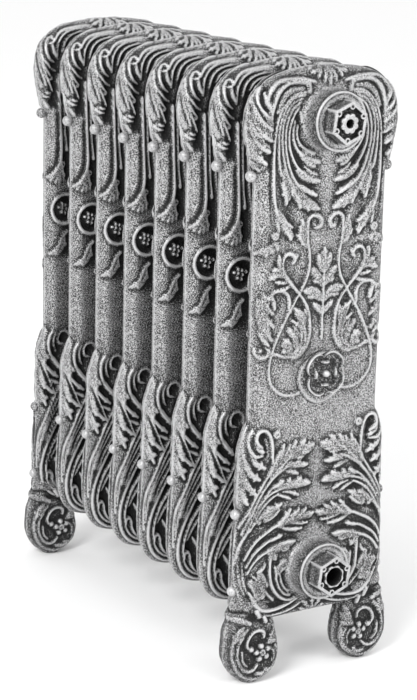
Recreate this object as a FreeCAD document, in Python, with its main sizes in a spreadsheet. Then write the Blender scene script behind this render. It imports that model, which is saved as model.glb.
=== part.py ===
"""Cast iron column radiator: eight hollow ornamental sections drawn together by threaded nipples.

Frame: +X along the stack, Y through its depth, +Z up. The origin is on the floor, at mid length.
All sizes are in millimetres. Screw threads are plain cylinders with a small clearance.
"""

import FreeCAD, Part
import Sketcher
import math
import os
import re

SECTIONS = 8
HEXAGON_CORNERS = 6
COLLAR_SCALLOPS = 8
KEY_LUGS = 2

# alias, value, what it is
SIZES = [
    ("section_pitch", 76.0, "from one section's centre plane to the next: 3 inches"),
    ("plate_thickness", 36.0, "a section's outside thickness"),
    ("edge_round", 13.0, "rounding all round a section's edge"),
    ("crown_half", 35.0, "half width of the level top"),
    ("top_height", 773.5, "top of the casting above the floor"),
    ("shoulder_half", 104.5, "half width at the top corners"),
    ("shoulder_height", 755.0, "height of the top corners before rounding"),
    ("shoulder_round", 32.0, "rounding of the top corners"),
    ("head_half", 106.5, "widest half width of the head"),
    ("head_height", 706.0, "height of the head's widest point"),
    ("pearl_half", 99.0, "half width where the head's leaf ends"),
    ("pearl_height", 660.0, "height where the head's leaf ends"),
    ("panel_half", 93.5, "half width of the plain panel"),
    ("panel_top", 638.5, "top of the plain panel"),
    ("panel_bottom", 338.5, "bottom of the plain panel"),
    ("base_top_half", 104.5, "half width just under the base's shoulder"),
    ("base_top", 303.5, "bottom of the base's shoulder"),
    ("base_half", 111.0, "widest half width of the base"),
    ("base_wide_height", 145.0, "height of the base's widest point"),
    ("base_bottom", 79.5, "underside of the casting"),
    ("base_round", 45.0, "rounding of the lower corners"),
    ("bend_round", 60.0, "rounding of the outline's slight bends"),
    ("waist_height", 110.0, "height where a foot joins the base"),
    ("foot_outer", 121.5, "half width over the feet"),
    ("foot_inner", 46.0, "half width of the gap between the feet"),
    ("foot_inner_top", 52.8, "the same at the top of the gap"),
    ("foot_belly", 56.0, "height of a foot's widest point"),
    ("foot_inner_belly", 46.0, "height of the gap's narrowest point"),
    ("foot_round", 34.0, "rounding under a foot"),
    ("crotch_round", 15.0, "rounding at the top of the gap between the feet"),
    ("foot_pad_radius", 12.0, "flat pad under each foot"),
    ("foot_pad_height", 4.0, "height of that pad"),
    ("hub_top", 711.5, "height of the upper hubs' axis"),
    ("hub_bottom", 143.5, "height of the lower hubs' axis"),
    ("hub_radius", 37.0, "outside radius of a hub"),
    ("hub_root_round", 3.0, "rounding where a hub meets the plate"),
    ("hub_bore_radius", 21.0, "1 1/4 inch pipe thread, major radius"),
    ("joint_gasket", 1.0, "gasket between two hubs"),
    ("gasket_bore_radius", 22.0, "inside radius of every hub gasket"),
    ("gasket_radius", 33.0, "outside radius of every hub gasket"),
    ("water_thickness", 25.0, "thickness of the water space"),
    ("water_half", 84.0, "half width of the water space"),
    ("water_bottom", 97.0, "bottom of the water space"),
    ("water_top", 744.0, "top of the water space"),
    ("nipple_radius", 20.95, "outside radius of a nipple"),
    ("nipple_bore_radius", 16.5, "waterway through a nipple"),
    ("nipple_length", 38.0, "length of a nipple"),
    ("key_lug_width", 5.0, "lug that the assembly key turns"),
    ("key_lug_height", 3.0, "how far the lug stands into the waterway"),
    ("key_lug_root", 2.0, "how far the lug reaches into the nipple's wall"),
    ("bush_gasket", 1.0, "gasket under a bush's flange"),
    ("bush_spigot_radius", 20.95, "screwed part of a bush"),
    ("bush_spigot_length", 18.0, "length of that part"),
    ("bush_flange_radius", 36.5, "flange of a bush"),
    ("bush_flange_thickness", 3.0, "thickness of that flange"),
    ("bush_hexagon", 46.5, "across the flats of a bush"),
    ("bush_recess", 38.5, "across the flats of the recess in its face"),
    ("bush_recess_depth", 7.0, "depth of that recess"),
    ("bush_clock", 7.7, "turn of the hexagon from corner-up, in degrees"),
    ("corner_lug_radius", 3.6, "round lug in each corner of the recess"),
    ("corner_dimple_radius", 1.4, "dimple in each lug"),
    ("corner_dimple_depth", 2.5, "depth of that dimple"),
    ("vent_bush_reach", 21.0, "face of a vent bush beyond the hub gasket"),
    ("vent_tube_radius", 13.0, "collar around the vent tapping"),
    ("vent_tapping_radius", 5.72, "1/4 inch pipe thread, tapping radius"),
    ("pipe_bush_reach", 25.0, "face of a pipe bush beyond the hub gasket"),
    ("pipe_tube_radius", 14.5, "collar around the pipe tapping"),
    ("pipe_tapping_radius", 12.06, "3/4 inch pipe thread, tapping radius"),
    ("scallop_radius", 2.2, "scallops around a collar's rim"),
    ("scallop_depth", 2.0, "depth of the scallops"),
    ("scallop_offset", 0.6, "scallops' centres outside the collar's rim"),
    ("vent_thread_radius", 5.67, "screwed part of the air vent"),
    ("vent_thread_length", 14.0, "length of that part"),
    ("vent_collar_radius", 7.5, "collar of the air vent"),
    ("vent_collar_thickness", 2.5, "thickness of that collar"),
    ("vent_chamber_radius", 3.0, "bore that holds the bleed screw"),
    ("vent_chamber_depth", 13.5, "depth of that bore from the collar's face"),
    ("vent_orifice_radius", 1.0, "air passage behind the seat"),
    ("vent_outlet_radius", 0.6, "side hole that lets the air out"),
    ("vent_screw_radius", 2.7, "bleed screw"),
    ("vent_screw_length", 9.5, "length of its round part"),
    ("vent_key_square", 3.6, "square end that the key fits"),
    ("vent_key_length", 4.0, "length of the square"),
    ("vent_seat_radius", 2.5, "soft seat on the screw's tip"),
    ("vent_seat_thickness", 1.5, "thickness of the seat"),
]

ALIASES = {row[0] for row in SIZES}

doc = FreeCAD.newDocument("radiator")
sheet = doc.addObject("Spreadsheet::Sheet", "Sizes")


def fill_sheet():
    """Each driving size has a row: its name, its value under an alias, and what it is."""
    for row, (alias, value, meaning) in enumerate(SIZES, start=1):
        sheet.set(f"A{row}", alias)
        sheet.set(f"B{row}", str(value))
        sheet.set(f"C{row}", meaning)
        sheet.setAlias(f"B{row}", alias)
    doc.recompute()


def bound(formula):
    """A formula on the sheet's names, as FreeCAD's expressions want it."""

    def on_sheet(word):
        return f"Sizes.{word[0]}" if word[0] in ALIASES else word[0]

    return re.sub(r"[a-z]\w+", on_sheet, formula)


def value_of(formula):
    return float(sheet.evalExpression(bound(formula)))


def new_body(label):
    body = doc.addObject("PartDesign::Body", label)
    body.Label = label
    return body


def origin_feature(body, role):
    return next(item for item in body.Origin.OriginFeatures if item.Role == role)


def place(body, across="0", along="0", up="0", turned_round=False):
    """Puts a body at its place in the stack; turned_round faces it towards -X."""
    if turned_round:
        body.Placement.Rotation = FreeCAD.Rotation(FreeCAD.Vector(0, 0, 1), 180)
    body.setExpression("Placement.Base.x", bound(along))
    body.setExpression("Placement.Base.y", bound(across))
    body.setExpression("Placement.Base.z", bound(up))


def stack_position(index):
    """Formula for the X of section number index, counted from 0 at the rear."""
    return f"section_pitch * {index - (SECTIONS - 1) / 2}"


def sketch_across_stack(body, name):
    """A sketch in the body's YZ plane: its first axis is Y and its second is Z."""
    sketch = body.newObject("Sketcher::SketchObject", name)
    sketch.AttachmentSupport = [(origin_feature(body, "YZ_Plane"), "")]
    sketch.MapMode = "FlatFace"
    return sketch


def tie_point(sketch, geometry, point, across, up):
    """Ties one point of a sketch to a formula for its Y and one for its Z."""
    for kind, formula in (("DistanceX", across), ("DistanceY", up)):
        constraint = Sketcher.Constraint(kind, -1, 1, geometry, point, value_of(formula))
        index = sketch.addConstraint(constraint)
        sketch.setExpression(f"Constraints[{index}]", bound(formula))


def draw_outline(sketch, corners):
    """A closed outline through corners, each a pair of formulas."""
    points = [FreeCAD.Vector(value_of(y), value_of(z), 0) for y, z in corners]
    count = len(points)
    for index in range(count):
        sketch.addGeometry(Part.LineSegment(points[index], points[(index + 1) % count]), False)
    for index in range(count):
        sketch.addConstraint(Sketcher.Constraint("Coincident", index, 2, (index + 1) % count, 1))
    for index, (across, up) in enumerate(corners):
        tie_point(sketch, index, 1, across, up)


def draw_circle(sketch, radius, across="0", up="0"):
    centre = FreeCAD.Vector(value_of(across), value_of(up), 0)
    circle = sketch.addGeometry(Part.Circle(centre, FreeCAD.Vector(0, 0, 1), value_of(radius)), False)
    index = sketch.addConstraint(Sketcher.Constraint("Radius", circle, value_of(radius)))
    sketch.setExpression(f"Constraints[{index}]", bound(radius))
    if across == "0" and up == "0":
        sketch.addConstraint(Sketcher.Constraint("Coincident", circle, 3, -1, 1))
    elif across == "0":
        sketch.addConstraint(Sketcher.Constraint("PointOnObject", circle, 3, -2))
        index = sketch.addConstraint(Sketcher.Constraint("DistanceY", -1, 1, circle, 3, value_of(up)))
        sketch.setExpression(f"Constraints[{index}]", bound(up))
    else:
        tie_point(sketch, circle, 3, across, up)


def pad_both_ways(body, name, sketch, thickness):
    pad = body.newObject("PartDesign::Pad", name)
    pad.Profile = sketch
    pad.SideType = "Symmetric"
    pad.setExpression("Length", bound(thickness))
    doc.recompute()
    return pad


def pocket_both_ways(body, name, sketch, thickness):
    before = body.Shape.Volume
    pocket = body.newObject("PartDesign::Pocket", name)
    pocket.Profile = sketch
    pocket.SideType = "Symmetric"
    pocket.setExpression("Length", bound(thickness))
    doc.recompute()
    if body.Shape.Volume > before - 1:
        raise RuntimeError(f"{body.Label}: {name} cut nothing")
    return pocket


def round_edges(body, name, radius, wanted):
    """Rounds every edge of the body's last feature for which wanted(edge) is true."""
    feature = body.Tip
    edges = [f"Edge{i}" for i, edge in enumerate(feature.Shape.Edges, start=1) if wanted(edge)]
    fillet = body.newObject("PartDesign::Fillet", name)
    fillet.Base = (feature, edges)
    fillet.setExpression("Radius", bound(radius))
    doc.recompute()
    return fillet


def runs_along_stack(edge, corners):
    """True for a straight edge along X at one of the corners."""
    start, end = edge.Vertexes[0].Point, edge.Vertexes[-1].Point
    if abs(start.x - end.x) < 1:
        return False
    return any(math.hypot(start.y - y, start.z - z) < 0.5 for y, z in corners)


def round_corners(body, name, radius, corners):
    places = [(value_of(y), value_of(z)) for y, z in corners]
    round_edges(body, name, radius, lambda edge: runs_along_stack(edge, places))


def both_sides(corners):
    """Corners on the +Y side, with the same corners mirrored to the -Y side."""
    return list(corners) + [(f"0 - ({y})", z) for y, z in corners]


def closed_round(corners):
    """A symmetric outline from its +Y half, given from the top down."""
    return list(corners) + [(f"0 - ({y})", z) for y, z in reversed(corners)]


CROWN = ("crown_half", "top_height")
SHOULDER = ("shoulder_half", "shoulder_height")
HEAD = ("head_half", "head_height")
PEARL = ("pearl_half", "pearl_height")
PANEL_TOP = ("panel_half", "panel_top")
PANEL_BOTTOM = ("panel_half", "panel_bottom")
BASE_TOP = ("base_top_half", "base_top")
BASE_WIDE = ("base_half", "base_wide_height")
BASE_CORNER = ("base_half", "base_bottom")
WAIST = ("base_half", "waist_height")
FOOT_BELLY = ("foot_outer", "foot_belly")
FOOT_HEEL = ("foot_outer", "0")
FOOT_TOE = ("foot_inner", "0")
FOOT_INNER_BELLY = ("foot_inner", "foot_inner_belly")
CROTCH = ("foot_inner_top", "base_bottom")

HEAD_TO_BASE = [CROWN, SHOULDER, HEAD, PEARL, PANEL_TOP, PANEL_BOTTOM, BASE_TOP, BASE_WIDE]
SLIGHT_BENDS = [CROWN, HEAD, PEARL, PANEL_TOP, PANEL_BOTTOM, BASE_TOP, BASE_WIDE]


def section(label, index, legs=False, turned_round=False):
    """One hollow casting: plate, hubs, water space, and two feet if it is a leg section."""
    body = new_body(label)
    bends = list(SLIGHT_BENDS)
    if legs:
        foot = [WAIST, FOOT_BELLY, FOOT_HEEL, FOOT_TOE, FOOT_INNER_BELLY, CROTCH]
        corners = HEAD_TO_BASE + foot
        bends += [WAIST, FOOT_BELLY, FOOT_INNER_BELLY]
    else:
        corners = HEAD_TO_BASE + [BASE_CORNER]
    outline = sketch_across_stack(body, f"{label}_outline")
    draw_outline(outline, closed_round(corners))
    pad_both_ways(body, f"{label}_plate", outline, "plate_thickness")
    round_corners(body, f"{label}_shoulders", "shoulder_round", both_sides([SHOULDER]))
    if legs:
        round_corners(body, f"{label}_soles", "foot_round", both_sides([FOOT_HEEL, FOOT_TOE]))
        round_corners(body, f"{label}_crotch", "crotch_round", both_sides([CROTCH]))
    else:
        round_corners(body, f"{label}_base", "base_round", both_sides([BASE_CORNER]))
    round_corners(body, f"{label}_bends", "bend_round", both_sides(bends))
    half = value_of("plate_thickness / 2")
    round_edges(body, f"{label}_edge", "edge_round", lambda edge: lies_in_face(edge, half))
    if legs:
        foot_pads(body, label)
    hubs(body, label)
    water_space(body, label)
    place(body, along=stack_position(index), turned_round=turned_round)
    return body


def lies_in_face(edge, half):
    return all(abs(abs(vertex.Point.x) - half) < 1e-6 for vertex in edge.Vertexes)


def foot_pads(body, label):
    """A flat round pad under each foot, for the radiator to stand on."""
    for side, sign in (("left", "-"), ("right", "+")):
        pad = body.newObject("PartDesign::AdditiveCylinder", f"{label}_pad_{side}")
        pad.AttachmentSupport = [(origin_feature(body, "XY_Plane"), "")]
        pad.MapMode = "FlatFace"
        pad.setExpression("Radius", bound("foot_pad_radius"))
        pad.setExpression("Height", bound("foot_pad_height"))
        across = f"0 {sign} (foot_outer + foot_inner) / 2"
        pad.setExpression("AttachmentOffset.Base.y", bound(across))
        doc.recompute()


def hubs(body, label):
    rings = sketch_across_stack(body, f"{label}_hub_circles")
    draw_circle(rings, "hub_radius", up="hub_top")
    draw_circle(rings, "hub_radius", up="hub_bottom")
    pad_both_ways(body, f"{label}_hubs", rings, "section_pitch - joint_gasket")
    radius = value_of("hub_radius")
    half = value_of("plate_thickness / 2")

    def is_root(edge):
        on_face = lies_in_face(edge, half)
        return on_face and isinstance(edge.Curve, Part.Circle) and abs(edge.Curve.Radius - radius) < 1e-6

    round_edges(body, f"{label}_hub_roots", "hub_root_round", is_root)


def water_space(body, label):
    inside = sketch_across_stack(body, f"{label}_water")
    draw_outline(inside, closed_round([("water_half", "water_top"), ("water_half", "water_bottom")]))
    pocket_both_ways(body, f"{label}_water_space", inside, "water_thickness")
    bores = sketch_across_stack(body, f"{label}_bore_circles")
    draw_circle(bores, "hub_bore_radius", up="hub_top")
    draw_circle(bores, "hub_bore_radius", up="hub_bottom")
    pocket_both_ways(body, f"{label}_bores", bores, "section_pitch + joint_gasket")


def ring(label, radius, bore, thickness):
    body = new_body(label)
    circles = sketch_across_stack(body, f"{label}_circles")
    draw_circle(circles, radius)
    draw_circle(circles, bore)
    pad_both_ways(body, f"{label}_ring", circles, thickness)
    return body


def nipple(label, gap, up):
    """A threaded tube across the joint number gap, with two lugs inside for the key."""
    body = ring(label, "nipple_radius", "nipple_bore_radius", "nipple_length")
    lug = body.newObject("PartDesign::AdditiveBox", f"{label}_lug")
    lug.AttachmentSupport = [(origin_feature(body, "YZ_Plane"), "")]
    lug.MapMode = "FlatFace"
    lug.setExpression("Length", bound("key_lug_height + key_lug_root"))
    lug.setExpression("Width", bound("key_lug_width"))
    lug.setExpression("Height", bound("nipple_length"))
    lug.setExpression("AttachmentOffset.Base.x", bound("nipple_bore_radius - key_lug_height"))
    lug.setExpression("AttachmentOffset.Base.y", bound("0 - key_lug_width / 2"))
    lug.setExpression("AttachmentOffset.Base.z", bound("0 - nipple_length / 2"))
    doc.recompute()
    repeat_round(body, f"{label}_lugs", lug, KEY_LUGS)
    place(body, along=joint_position(gap), up=up)


def joint_position(gap):
    """Formula for the X of joint number gap, counted from 1 at the rear."""
    return stack_position(gap - 0.5)


def stack_end():
    """Formula for the X of the outermost hub face."""
    return f"section_pitch * {SECTIONS / 2} - joint_gasket / 2"


def repeat_round(body, name, feature, count):
    """Repeats a feature evenly round the body's X axis."""
    before = body.Shape.Volume
    pattern = body.newObject("PartDesign::PolarPattern", name)
    pattern.Originals = [feature]
    pattern.Axis = (origin_feature(body, "X_Axis"), [""])
    pattern.Occurrences = count
    body.Tip = pattern
    doc.recompute()
    if abs(body.Shape.Volume - before) < 0.1:
        raise RuntimeError(f"{body.Label}: {name} repeats nothing")
    return pattern


def joint_gasket(label, gap, up):
    body = ring(label, "gasket_radius", "gasket_bore_radius", "joint_gasket")
    place(body, along=joint_position(gap), up=up)


def round_feature(body, name, kind, radius, start, length, across="0"):
    """A cylinder along X, added or cut, from start over length; across shifts it along Y."""
    cylinder = body.newObject(f"PartDesign::{kind}Cylinder", name)
    cylinder.AttachmentSupport = [(origin_feature(body, "YZ_Plane"), "")]
    cylinder.MapMode = "FlatFace"
    cylinder.setExpression("Radius", bound(radius))
    cylinder.setExpression("Height", bound(length))
    cylinder.setExpression("AttachmentOffset.Base.x", bound(across))
    cylinder.setExpression("AttachmentOffset.Base.z", bound(start))
    doc.recompute()
    return cylinder


def hexagon_feature(body, name, kind, flats, start, length):
    """A hexagonal prism along X, given by its width across the flats."""
    prism = body.newObject(f"PartDesign::{kind}Prism", name)
    prism.AttachmentSupport = [(origin_feature(body, "YZ_Plane"), "")]
    prism.MapMode = "FlatFace"
    prism.Polygon = 6
    prism.setExpression("Circumradius", bound(f"{flats} / sqrt(3)"))
    prism.setExpression("Height", bound(length))
    prism.setExpression("AttachmentOffset.Base.z", bound(start))
    prism.AttachmentOffset.Rotation = FreeCAD.Rotation(FreeCAD.Vector(0, 0, 1), 30)
    prism.setExpression("AttachmentOffset.Rotation.Angle", bound("(30 + bush_clock) * 1 deg"))
    doc.recompute()
    return prism


def bush(label, reach, tube_radius, tapping_radius, up, front):
    """A reducing bush: spigot, flange, hexagon with a recessed face, collar and tapping."""
    body = new_body(label)
    face = f"bush_gasket + {reach}"
    floor = f"{face} - bush_recess_depth"
    round_feature(body, f"{label}_spigot", "Additive", "bush_spigot_radius",
                  "0 - bush_spigot_length", "bush_spigot_length + bush_gasket")
    round_feature(body, f"{label}_flange", "Additive", "bush_flange_radius",
                  "bush_gasket", "bush_flange_thickness")
    hexagon_feature(body, f"{label}_hexagon", "Additive", "bush_hexagon", "bush_gasket", reach)
    hexagon_feature(body, f"{label}_recess", "Subtractive", "bush_recess", floor, "bush_recess_depth")
    corner_radius = "bush_recess / sqrt(3) - corner_lug_radius / 2"
    lug = round_feature(body, f"{label}_lug", "Additive", "corner_lug_radius",
                        floor, "bush_recess_depth", corner_radius)
    round_to_corner(lug, corner_radius)
    repeat_round(body, f"{label}_lugs", lug, HEXAGON_CORNERS)
    dimple = round_feature(body, f"{label}_dimple", "Subtractive", "corner_dimple_radius",
                           f"{face} - corner_dimple_depth", "corner_dimple_depth", corner_radius)
    round_to_corner(dimple, corner_radius)
    repeat_round(body, f"{label}_dimples", dimple, HEXAGON_CORNERS)
    round_feature(body, f"{label}_collar", "Additive", tube_radius, floor, "bush_recess_depth")
    scallop = round_feature(body, f"{label}_scallop", "Subtractive", "scallop_radius",
                            f"{face} - scallop_depth", "scallop_depth", f"{tube_radius} + scallop_offset")
    repeat_round(body, f"{label}_scallops", scallop, COLLAR_SCALLOPS)
    round_feature(body, f"{label}_tapping", "Subtractive", tapping_radius,
                  "0 - bush_spigot_length", f"bush_spigot_length + bush_gasket + {reach}")
    along = stack_end() if front else f"0 - ({stack_end()})"
    place(body, along=along, up=up, turned_round=not front)


def round_to_corner(feature, radius):
    """Moves a round feature from the axis out to a corner of the hexagon."""
    turn = "(30 + bush_clock) * 1 deg"
    feature.setExpression("AttachmentOffset.Base.x", bound(f"({radius}) * cos({turn})"))
    feature.setExpression("AttachmentOffset.Base.y", bound(f"({radius}) * sin({turn})"))
    doc.recompute()


def bush_gasket(label, up, front):
    body = ring(label, "gasket_radius", "gasket_bore_radius", "bush_gasket")
    middle = f"{stack_end()} + bush_gasket / 2"
    place(body, along=middle if front else f"0 - ({middle})", up=up)


def at_vent_face(body):
    """Puts a piece of the air vent on the face of the rear top bush, pointing outward."""
    face = f"{stack_end()} + bush_gasket + vent_bush_reach"
    place(body, along=f"0 - ({face})", up="hub_top", turned_round=True)


def vent_body():
    body = new_body("vent_body")
    round_feature(body, "vent_shank", "Additive", "vent_thread_radius", "0 - vent_thread_length",
                  "vent_thread_length + vent_collar_thickness")
    round_feature(body, "vent_collar", "Additive", "vent_collar_radius", "0", "vent_collar_thickness")
    round_feature(body, "vent_chamber", "Subtractive", "vent_chamber_radius",
                  "vent_collar_thickness - vent_chamber_depth", "vent_chamber_depth")
    round_feature(body, "vent_orifice", "Subtractive", "vent_orifice_radius",
                  "0 - vent_thread_length", "vent_thread_length")
    outlet = body.newObject("PartDesign::SubtractiveCylinder", "vent_outlet")
    outlet.AttachmentSupport = [(origin_feature(body, "XY_Plane"), "")]
    outlet.MapMode = "FlatFace"
    outlet.setExpression("Radius", bound("vent_outlet_radius"))
    outlet.setExpression("Height", bound("vent_collar_radius"))
    outlet.setExpression("AttachmentOffset.Base.x", bound("vent_collar_thickness / 2"))
    outlet.setExpression("AttachmentOffset.Base.z", bound("0 - vent_collar_radius"))
    doc.recompute()
    at_vent_face(body)


def vent_seat():
    body = new_body("vent_seat")
    round_feature(body, "vent_seat_disc", "Additive", "vent_seat_radius",
                  "vent_collar_thickness - vent_chamber_depth", "vent_seat_thickness")
    at_vent_face(body)


def vent_screw():
    """The bleed screw: a round shank, and a square end for the key."""
    body = new_body("vent_screw")
    back = "vent_collar_thickness - vent_chamber_depth + vent_seat_thickness"
    round_feature(body, "vent_screw_shank", "Additive", "vent_screw_radius", back, "vent_screw_length")
    key = body.newObject("PartDesign::AdditivePrism", "vent_key_end")
    key.AttachmentSupport = [(origin_feature(body, "YZ_Plane"), "")]
    key.MapMode = "FlatFace"
    key.Polygon = 4
    key.setExpression("Circumradius", bound("vent_key_square / sqrt(2)"))
    key.setExpression("Height", bound("vent_key_length"))
    key.setExpression("AttachmentOffset.Base.z", bound(f"{back} + vent_screw_length"))
    doc.recompute()
    at_vent_face(body)


def check_document():
    for item in doc.Objects:
        if "Invalid" in item.State or "Error" in item.State:
            raise RuntimeError(f"{item.Name} failed: {item.State}")
    for body in sub_parts():
        if body.Shape.isNull() or not body.Shape.isValid() or len(body.Shape.Solids) != 1:
            raise RuntimeError(f"{body.Label} is not one valid solid")


def sub_parts():
    return [item for item in doc.Objects if item.TypeId == "PartDesign::Body"]


def write_parts():
    os.makedirs("parts", exist_ok=True)
    for body in sub_parts():
        body.Shape.exportStep(f"parts/{body.Label}.step")


def main():
    fill_sheet()
    section("leg_section_rear", 0, legs=True, turned_round=True)
    for index in range(1, SECTIONS - 1):
        section(f"section_{index + 1}", index)
    section("leg_section_front", SECTIONS - 1, legs=True)
    for level in ("top", "bottom"):
        for gap in range(1, SECTIONS):
            nipple(f"nipple_{level}_{gap}", gap, f"hub_{level}")
            joint_gasket(f"gasket_{level}_{gap}", gap, f"hub_{level}")
        for end, front in (("front", True), ("rear", False)):
            bush_gasket(f"gasket_bush_{end}_{level}", f"hub_{level}", front)
    for end, front in (("front", True), ("rear", False)):
        bush(f"bush_{end}_top", "vent_bush_reach", "vent_tube_radius", "vent_tapping_radius",
             "hub_top", front)
        bush(f"bush_{end}_bottom", "pipe_bush_reach", "pipe_tube_radius", "pipe_tapping_radius",
             "hub_bottom", front)
    vent_body()
    vent_seat()
    vent_screw()
    doc.recompute()
    check_document()
    write_parts()


main()
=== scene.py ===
"""Cast iron radiator: the ornamental castings, their bushes, gaskets, air vent, floor and light.

Ornament is drawn in millimetres on half a face: y is the distance from the middle line, z the height.
A stroke is a text of its y,z points. The texts or numbers after it are its half widths and heights, or
depths, from its start to its end.
"""

import math
import bpy
import numpy as np
from mathutils import Matrix, Vector


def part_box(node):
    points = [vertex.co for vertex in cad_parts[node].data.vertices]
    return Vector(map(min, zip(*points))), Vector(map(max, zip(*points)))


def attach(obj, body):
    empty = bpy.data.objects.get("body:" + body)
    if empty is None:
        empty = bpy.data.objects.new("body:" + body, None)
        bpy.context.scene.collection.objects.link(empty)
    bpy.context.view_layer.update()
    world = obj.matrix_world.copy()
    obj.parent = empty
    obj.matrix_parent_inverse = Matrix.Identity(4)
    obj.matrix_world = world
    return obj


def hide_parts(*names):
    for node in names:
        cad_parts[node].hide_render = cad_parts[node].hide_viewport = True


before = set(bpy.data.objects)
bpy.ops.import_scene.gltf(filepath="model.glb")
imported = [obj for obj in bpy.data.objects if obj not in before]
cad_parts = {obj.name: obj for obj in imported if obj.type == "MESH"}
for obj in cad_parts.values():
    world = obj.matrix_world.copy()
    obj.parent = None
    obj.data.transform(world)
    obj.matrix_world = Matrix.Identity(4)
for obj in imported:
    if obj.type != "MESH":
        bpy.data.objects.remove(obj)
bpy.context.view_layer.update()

MM = 0.001
HUB_TOP, HUB_BOTTOM = 711.5, 143.5
FACE = 16.0          # the plain face stands this far from a section's middle plane
EDGE = 13.0          # rounding of a section's edge
FOOT_FACE, FOOT_EDGE = FACE + 1.5, 12.0
FOOT_Y, PAD_Y = 84.0, 83.75
FOOT_SPINE = (38, 78)           # the heights between which a foot's middle line runs
FACE_AREA = (128, 60, 790)      # a drawn face: its half width, its bottom and its top
FOOT_AREA = (135, -10, 130)
OVERLAP = 6          # a drawn half face reaches this far past the middle line
CELL = 0.6           # size of one cell of a drawn relief
WEB = 2.4            # gaps up to twice this wide are part of the same leaf
SEAM, SEAM_HIGHLIGHT = 0.7, 0.22     # height of the mould line round each casting's edge, and the painted highlight laid along it
ROSE_Z = 398.0
MEDALLION_Y, MEDALLION_Z = 69.5, 511.5
PANEL = (344, 426)   # the heights between which a casting has a plain panel


def add_object(name, data):
    item = bpy.data.objects.new(name, data)
    bpy.context.scene.collection.objects.link(item)
    return item


# ---------------- camera
camera_data = bpy.data.cameras.new("camera")
camera_data.lens = 111.507
camera_data.sensor_width = 36.0
camera = add_object("camera", camera_data)
camera.matrix_world = Matrix((
    (0.53022864, -0.23080298, 0.81583550, 2.38451),
    (0.84755884, 0.11887051, -0.51721738, -1.49643),
    (0.02239653, 0.96571206, 0.25864766, 1.11167),
    (0, 0, 0, 1)))
bpy.context.scene.camera = camera


# ---------------- drawing a relief
def smooth(points, step=1.2):
    """A curve through the points: pairs of numbers, or a text of them such as "12,40 15,44"."""
    if isinstance(points, str):
        points = [pair.split(",") for pair in points.split()]
    p = np.array(points, float)
    if len(p) == 2:
        count = max(2, int(np.linalg.norm(p[1, :2] - p[0, :2]) / step) + 1)
        return p[0] + (p[1] - p[0]) * np.linspace(0, 1, count)[:, None]
    padded = np.vstack([2 * p[0] - p[1], p, 2 * p[-1] - p[-2]])
    pieces = []
    for a, b, c, d in zip(padded[:-3], padded[1:-2], padded[2:-1], padded[3:]):
        count = max(2, int(np.ceil(np.linalg.norm((c - b)[:2]) / step)))
        t = np.linspace(0, 1, count, endpoint=False)[:, None]
        pieces.append(0.5 * (2 * b + (c - a) * t + (2 * a - 5 * b + 4 * c - d) * t ** 2
                             + (3 * b - a - 3 * c + d) * t ** 3))
    return np.vstack(pieces + [p[-1:]])


def spread(values, count):
    """Stretches values, which may be a number, a list or a text such as "2 3.4 1", over count places."""
    if isinstance(values, str):
        values = values.split()
    values = np.atleast_1d(np.array(values, float))
    return np.interp(np.linspace(0, 1, count), np.linspace(0, 1, len(values)), values)


def strokes(text):
    """Reads strokes and their widths from a text such as "3.4: 12,40 15,44; 2: 30,5 40,9"."""
    for part in text.split(";"):
        width, line = part.split(":")
        yield line, float(width)


def blur(field, radius):
    """Three box blurs in each direction."""
    size = max(1, int(round(radius / CELL)))
    kernel = 2 * size + 1
    for axis in (0, 1, 0, 1, 0, 1):
        pad = [(0, 0), (0, 0)]
        pad[axis] = (size + 1, size)
        run = np.cumsum(np.pad(field, pad, mode="edge"), axis=axis)
        if axis == 0:
            field = (run[kernel:] - run[:-kernel]) / kernel
        else:
            field = (run[:, kernel:] - run[:, :-kernel]) / kernel
    return field


def spread_out(field, reach, pick):
    """The highest or lowest value within reach of each cell, in each direction."""
    for axis in (0, 1):
        result = field
        for shift in range(1, int(round(reach / CELL)) + 1):
            result = pick(result, pick(np.roll(field, shift, axis), np.roll(field, -shift, axis)))
        field = result
    return field


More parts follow.
